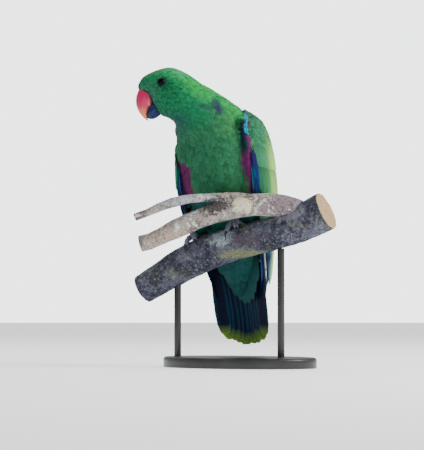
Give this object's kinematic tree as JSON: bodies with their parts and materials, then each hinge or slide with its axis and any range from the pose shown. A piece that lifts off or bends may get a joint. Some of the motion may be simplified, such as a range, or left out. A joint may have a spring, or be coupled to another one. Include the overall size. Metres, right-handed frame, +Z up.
{
  "type": "perched parrot model",
  "caption": "Life-size male eclectus parrot with folded wings and head turned in profile, gripping a cut length of forked branch held on a flat display stand.",
  "frame": {"origin": "centre of the display stand's underside, on the surface that it stands on", "axes": "+Z up; the bird's breast faces -Y, and its left side is towards +X"},
  "size_m": [0.2476, 0.1789, 0.3448],
  "materials": {
    "green_plumage": "soft, slightly glossy feathers",
    "wing_plumage": "smooth feather vanes with a soft sheen",
    "tail_plumage": "smooth dark feather vanes",
    "bill_coral": "smooth horn, coral at the base and orange at the edge",
    "bill_black": "smooth black horn",
    "eye": "wet and glossy",
    "foot_skin": "scaly and dull",
    "claw_horn": "smooth horn",
    "bark": "rough bark",
    "pale_bark": "weathered bark with lichen",
    "stand_paint": "satin black paint"
  },
  "bodies": {
    "root": {"head": "green_plumage", "neck": "green_plumage", "torso": "green_plumage", "bill_upper": "bill_coral", "bill_lower": "bill_black", "tail": "tail_plumage", "tail_coverts_under": "green_plumage", "tail_coverts_over": "green_plumage", "perch_branch": "bark", "perch_limb": "pale_bark", "perch_twig": "pale_bark", "stand_base": "stand_paint", "eye_left": "eye", "leg_left": "green_plumage", "wing_left": "wing_plumage", "foot_left": "foot_skin", "stand_rod_left": "stand_paint", "claw_left_1": "claw_horn", "claw_left_2": "claw_horn", "claw_left_3": "claw_horn", "claw_left_4": "claw_horn", "eye_right": "eye", "leg_right": "green_plumage", "wing_right": "wing_plumage", "foot_right": "foot_skin", "stand_rod_right": "stand_paint", "claw_right_1": "claw_horn", "claw_right_2": "claw_horn", "claw_right_3": "claw_horn", "claw_right_4": "claw_horn"}
  },
  "joints": []
}
